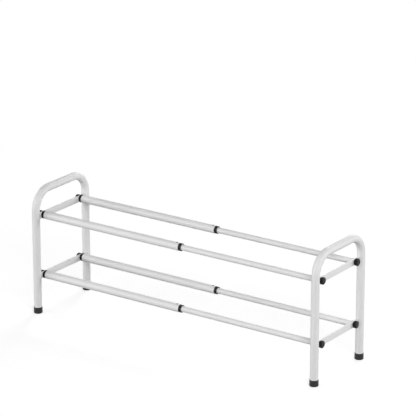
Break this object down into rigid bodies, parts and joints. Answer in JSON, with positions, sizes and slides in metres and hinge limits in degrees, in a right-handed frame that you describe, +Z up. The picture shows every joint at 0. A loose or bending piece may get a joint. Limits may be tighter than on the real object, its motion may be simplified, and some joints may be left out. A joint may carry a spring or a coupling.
{
  "type": "expandable shoe rack",
  "caption": "Free-standing shoe rack of bent-tube end frames joined by telescopic rails in tiers, so that its length can be set by sliding the frames apart.",
  "frame": {"origin": "on the floor, under the middle of the pulled-out rack", "axes": "+X along the rails from the thick tubes to the thin ones, +Y from front to rear, +Z up"},
  "size_m": [0.9236, 0.2446, 0.36],
  "materials": {
    "white_powder_coat": "satin white powder coat on steel",
    "black_moulded_plastic": "black moulded plastic, fine grain",
    "black_foot_plastic": "smooth black plastic caps",
    "zinc_plated_steel": "zinc plated"
  },
  "bodies": {
    "left_section": {"left_end_frame": "white_powder_coat", "left_upper_crossbar": "white_powder_coat", "left_lower_crossbar": "white_powder_coat", "left_front_foot": "black_foot_plastic", "left_rear_foot": "black_foot_plastic", "upper_front_outer_rail": "white_powder_coat", "upper_front_slide_collar": "black_moulded_plastic", "upper_front_outer_plug": "black_moulded_plastic", "upper_front_left_cap": "black_moulded_plastic", "upper_rear_outer_rail": "white_powder_coat", "upper_rear_slide_collar": "black_moulded_plastic", "upper_rear_outer_plug": "black_moulded_plastic", "upper_rear_left_cap": "black_moulded_plastic", "lower_front_outer_rail": "white_powder_coat", "lower_front_slide_collar": "black_moulded_plastic", "lower_front_outer_plug": "black_moulded_plastic", "lower_front_left_cap": "black_moulded_plastic", "lower_rear_outer_rail": "white_powder_coat", "lower_rear_slide_collar": "black_moulded_plastic", "lower_rear_outer_plug": "black_moulded_plastic", "lower_rear_left_cap": "black_moulded_plastic", "left_rail_screws": "zinc_plated_steel"},
    "right_section": {"right_end_frame": "white_powder_coat", "right_upper_crossbar": "white_powder_coat", "right_lower_crossbar": "white_powder_coat", "right_front_foot": "black_foot_plastic", "right_rear_foot": "black_foot_plastic", "upper_front_inner_rail": "white_powder_coat", "upper_front_inner_glide": "black_moulded_plastic", "upper_front_inner_plug": "black_moulded_plastic", "upper_front_right_cap": "black_moulded_plastic", "upper_rear_inner_rail": "white_powder_coat", "upper_rear_inner_glide": "black_moulded_plastic", "upper_rear_inner_plug": "black_moulded_plastic", "upper_rear_right_cap": "black_moulded_plastic", "lower_front_inner_rail": "white_powder_coat", "lower_front_inner_glide": "black_moulded_plastic", "lower_front_inner_plug": "black_moulded_plastic", "lower_front_right_cap": "black_moulded_plastic", "lower_rear_inner_rail": "white_powder_coat", "lower_rear_inner_glide": "black_moulded_plastic", "lower_rear_inner_plug": "black_moulded_plastic", "lower_rear_right_cap": "black_moulded_plastic", "right_rail_screws": "zinc_plated_steel"}
  },
  "joints": [
    {"name": "length_slide", "type": "slide", "parent": "left_section", "child": "right_section", "axis": [1, 0, 0], "range_m": [-0.416, 0]}
  ]
}
